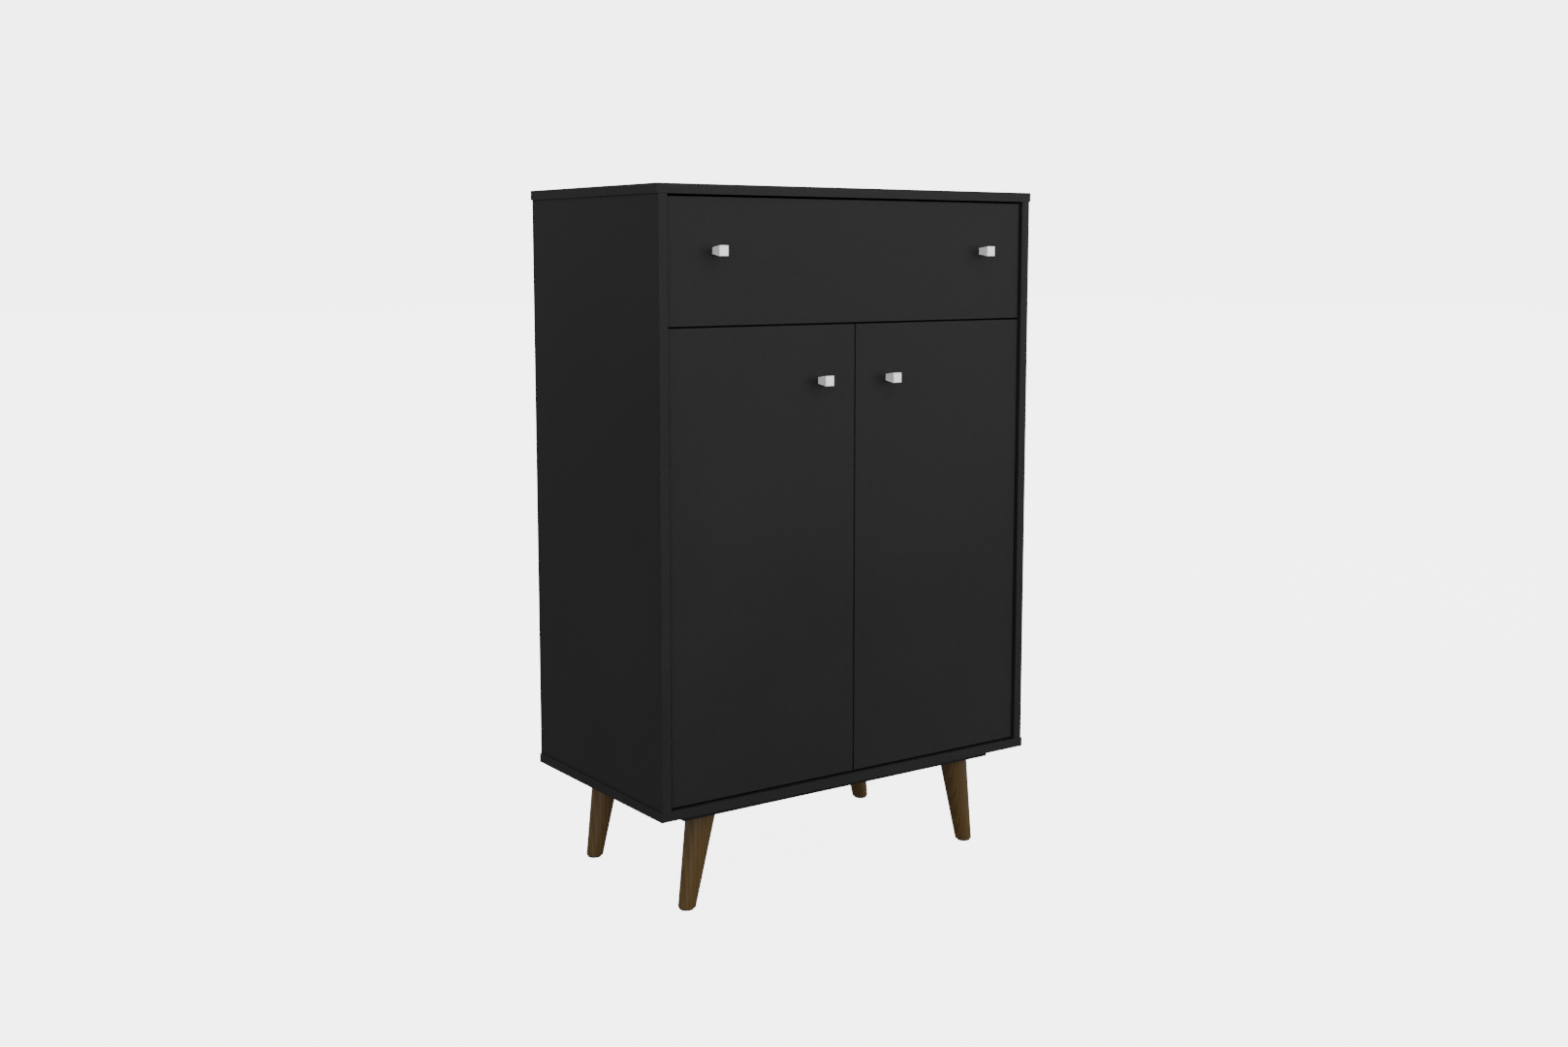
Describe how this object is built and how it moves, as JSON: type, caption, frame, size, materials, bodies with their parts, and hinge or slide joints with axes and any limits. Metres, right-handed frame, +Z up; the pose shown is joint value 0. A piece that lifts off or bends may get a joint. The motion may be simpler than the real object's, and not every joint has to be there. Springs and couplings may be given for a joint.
{
  "type": "shoe cabinet",
  "caption": "Charcoal shoe cabinet with a full-width drawer over two inset doors, square flared metal knobs and splayed tapered wooden legs.",
  "frame": {"origin": "on the floor, at the middle of the box round the whole cabinet, knobs included", "axes": "+X to the cabinet's right as seen from its front, +Y to its back, +Z up; the doors and drawer face -Y"},
  "size_m": [0.72, 0.409, 1.104],
  "materials": {
    "charcoal_board": "matt charcoal laminate on particle board",
    "drawer_board": "matt dark foil on particle board",
    "hardboard": "lacquered hardboard",
    "leg_wood": "dark walnut stain, satin",
    "dowel_wood": "fluted beech",
    "knob_chrome": "polished",
    "dark_plastic": "satin moulded",
    "roller_nylon": "natural nylon",
    "slide_enamel": "white epoxy coat",
    "magnet": "sintered ferrite",
    "nickel_plate": "nickel plated",
    "zinc_casting": "die-cast zinc",
    "zinc_steel": "zinc plated"
  },
  "bodies": {
    "cabinet": {"top_panel": "charcoal_board", "bottom_panel": "charcoal_board", "left_side_panel": "charcoal_board", "right_side_panel": "charcoal_board", "divider_shelf": "charcoal_board", "shelf_1": "charcoal_board", "shelf_2": "charcoal_board", "shelf_3": "charcoal_board", "shelf_pins": "zinc_steel", "left_back_panel": "hardboard", "right_back_panel": "hardboard", "back_joining_strip": "dark_plastic", "back_nails": "zinc_steel", "front_leg_rail": "charcoal_board", "rear_leg_rail": "charcoal_board", "front_left_leg": "leg_wood", "front_right_leg": "leg_wood", "rear_left_leg": "leg_wood", "rear_right_leg": "leg_wood", "leg_bolts": "zinc_steel", "tee_nuts": "zinc_steel", "foot_glides": "dark_plastic", "cam_locks": "zinc_casting", "cam_bolts": "zinc_steel", "dowels": "dowel_wood", "carcass_screws": "zinc_steel", "slide_channels": "slide_enamel", "cabinet_roller_rivets": "zinc_steel", "hinge_arms": "nickel_plate", "hinge_plates": "nickel_plate", "catch_body": "dark_plastic", "catch_magnets": "magnet"},
    "drawer": {"drawer_front": "charcoal_board", "drawer_left_side": "drawer_board", "drawer_right_side": "drawer_board", "drawer_back": "drawer_board", "drawer_bottom": "hardboard", "drawer_left_knob": "knob_chrome", "drawer_right_knob": "knob_chrome", "drawer_cam_fittings": "zinc_steel", "drawer_dowels": "dowel_wood", "drawer_screws": "zinc_steel", "drawer_slide_angles": "slide_enamel", "drawer_roller_rivets": "zinc_steel"},
    "left_door": {"left_door": "charcoal_board", "left_door_knob": "knob_chrome", "left_door_screws": "zinc_steel", "left_hinge_cups": "nickel_plate", "left_hinge_pins": "zinc_steel", "left_strike_plate": "nickel_plate"},
    "right_door": {"right_door": "charcoal_board", "right_door_knob": "knob_chrome", "right_door_screws": "zinc_steel", "right_hinge_cups": "nickel_plate", "right_hinge_pins": "zinc_steel", "right_strike_plate": "nickel_plate"},
    "cabinet_roller_left": {"cabinet_roller_left": "roller_nylon"},
    "cabinet_roller_right": {"cabinet_roller_right": "roller_nylon"},
    "drawer_roller_left": {"drawer_roller_left": "roller_nylon"},
    "drawer_roller_right": {"drawer_roller_right": "roller_nylon"}
  },
  "joints": [
    {"name": "drawer_slide", "type": "slide", "parent": "cabinet", "child": "drawer", "axis": [0, -1, 0], "range_m": [0, 0.285]},
    {"name": "left_door_hinge", "type": "hinge", "parent": "cabinet", "child": "left_door", "pos_m": [-0.3265, -0.1725, 0.54], "axis": [0, 0, -1], "range_deg": [0, 95]},
    {"name": "right_door_hinge", "type": "hinge", "parent": "cabinet", "child": "right_door", "pos_m": [0.3265, -0.1725, 0.54], "axis": [0, 0, 1], "range_deg": [0, 95]},
    {"name": "cabinet_roller_left_spin", "type": "hinge", "parent": "cabinet", "child": "cabinet_roller_left", "pos_m": [-0.3364, -0.1435, 0.9243], "axis": [1, 0, 0], "continuous": true},
    {"name": "drawer_roller_left_spin", "type": "hinge", "parent": "drawer", "child": "drawer_roller_left", "pos_m": [-0.3364, 0.1645, 0.9243], "axis": [1, 0, 0], "continuous": true},
    {"name": "cabinet_roller_right_spin", "type": "hinge", "parent": "cabinet", "child": "cabinet_roller_right", "pos_m": [0.3364, -0.1435, 0.9243], "axis": [1, 0, 0], "continuous": true},
    {"name": "drawer_roller_right_spin", "type": "hinge", "parent": "drawer", "child": "drawer_roller_right", "pos_m": [0.3364, 0.1645, 0.9243], "axis": [1, 0, 0], "continuous": true}
  ],
  "couplings": [
    {"joint": "cabinet_roller_left_spin", "follows": "drawer_slide", "rad_per_m": 111.11},
    {"joint": "drawer_roller_left_spin", "follows": "drawer_slide", "rad_per_m": 111.11},
    {"joint": "cabinet_roller_right_spin", "follows": "drawer_slide", "rad_per_m": 111.11},
    {"joint": "drawer_roller_right_spin", "follows": "drawer_slide", "rad_per_m": 111.11}
  ]
}
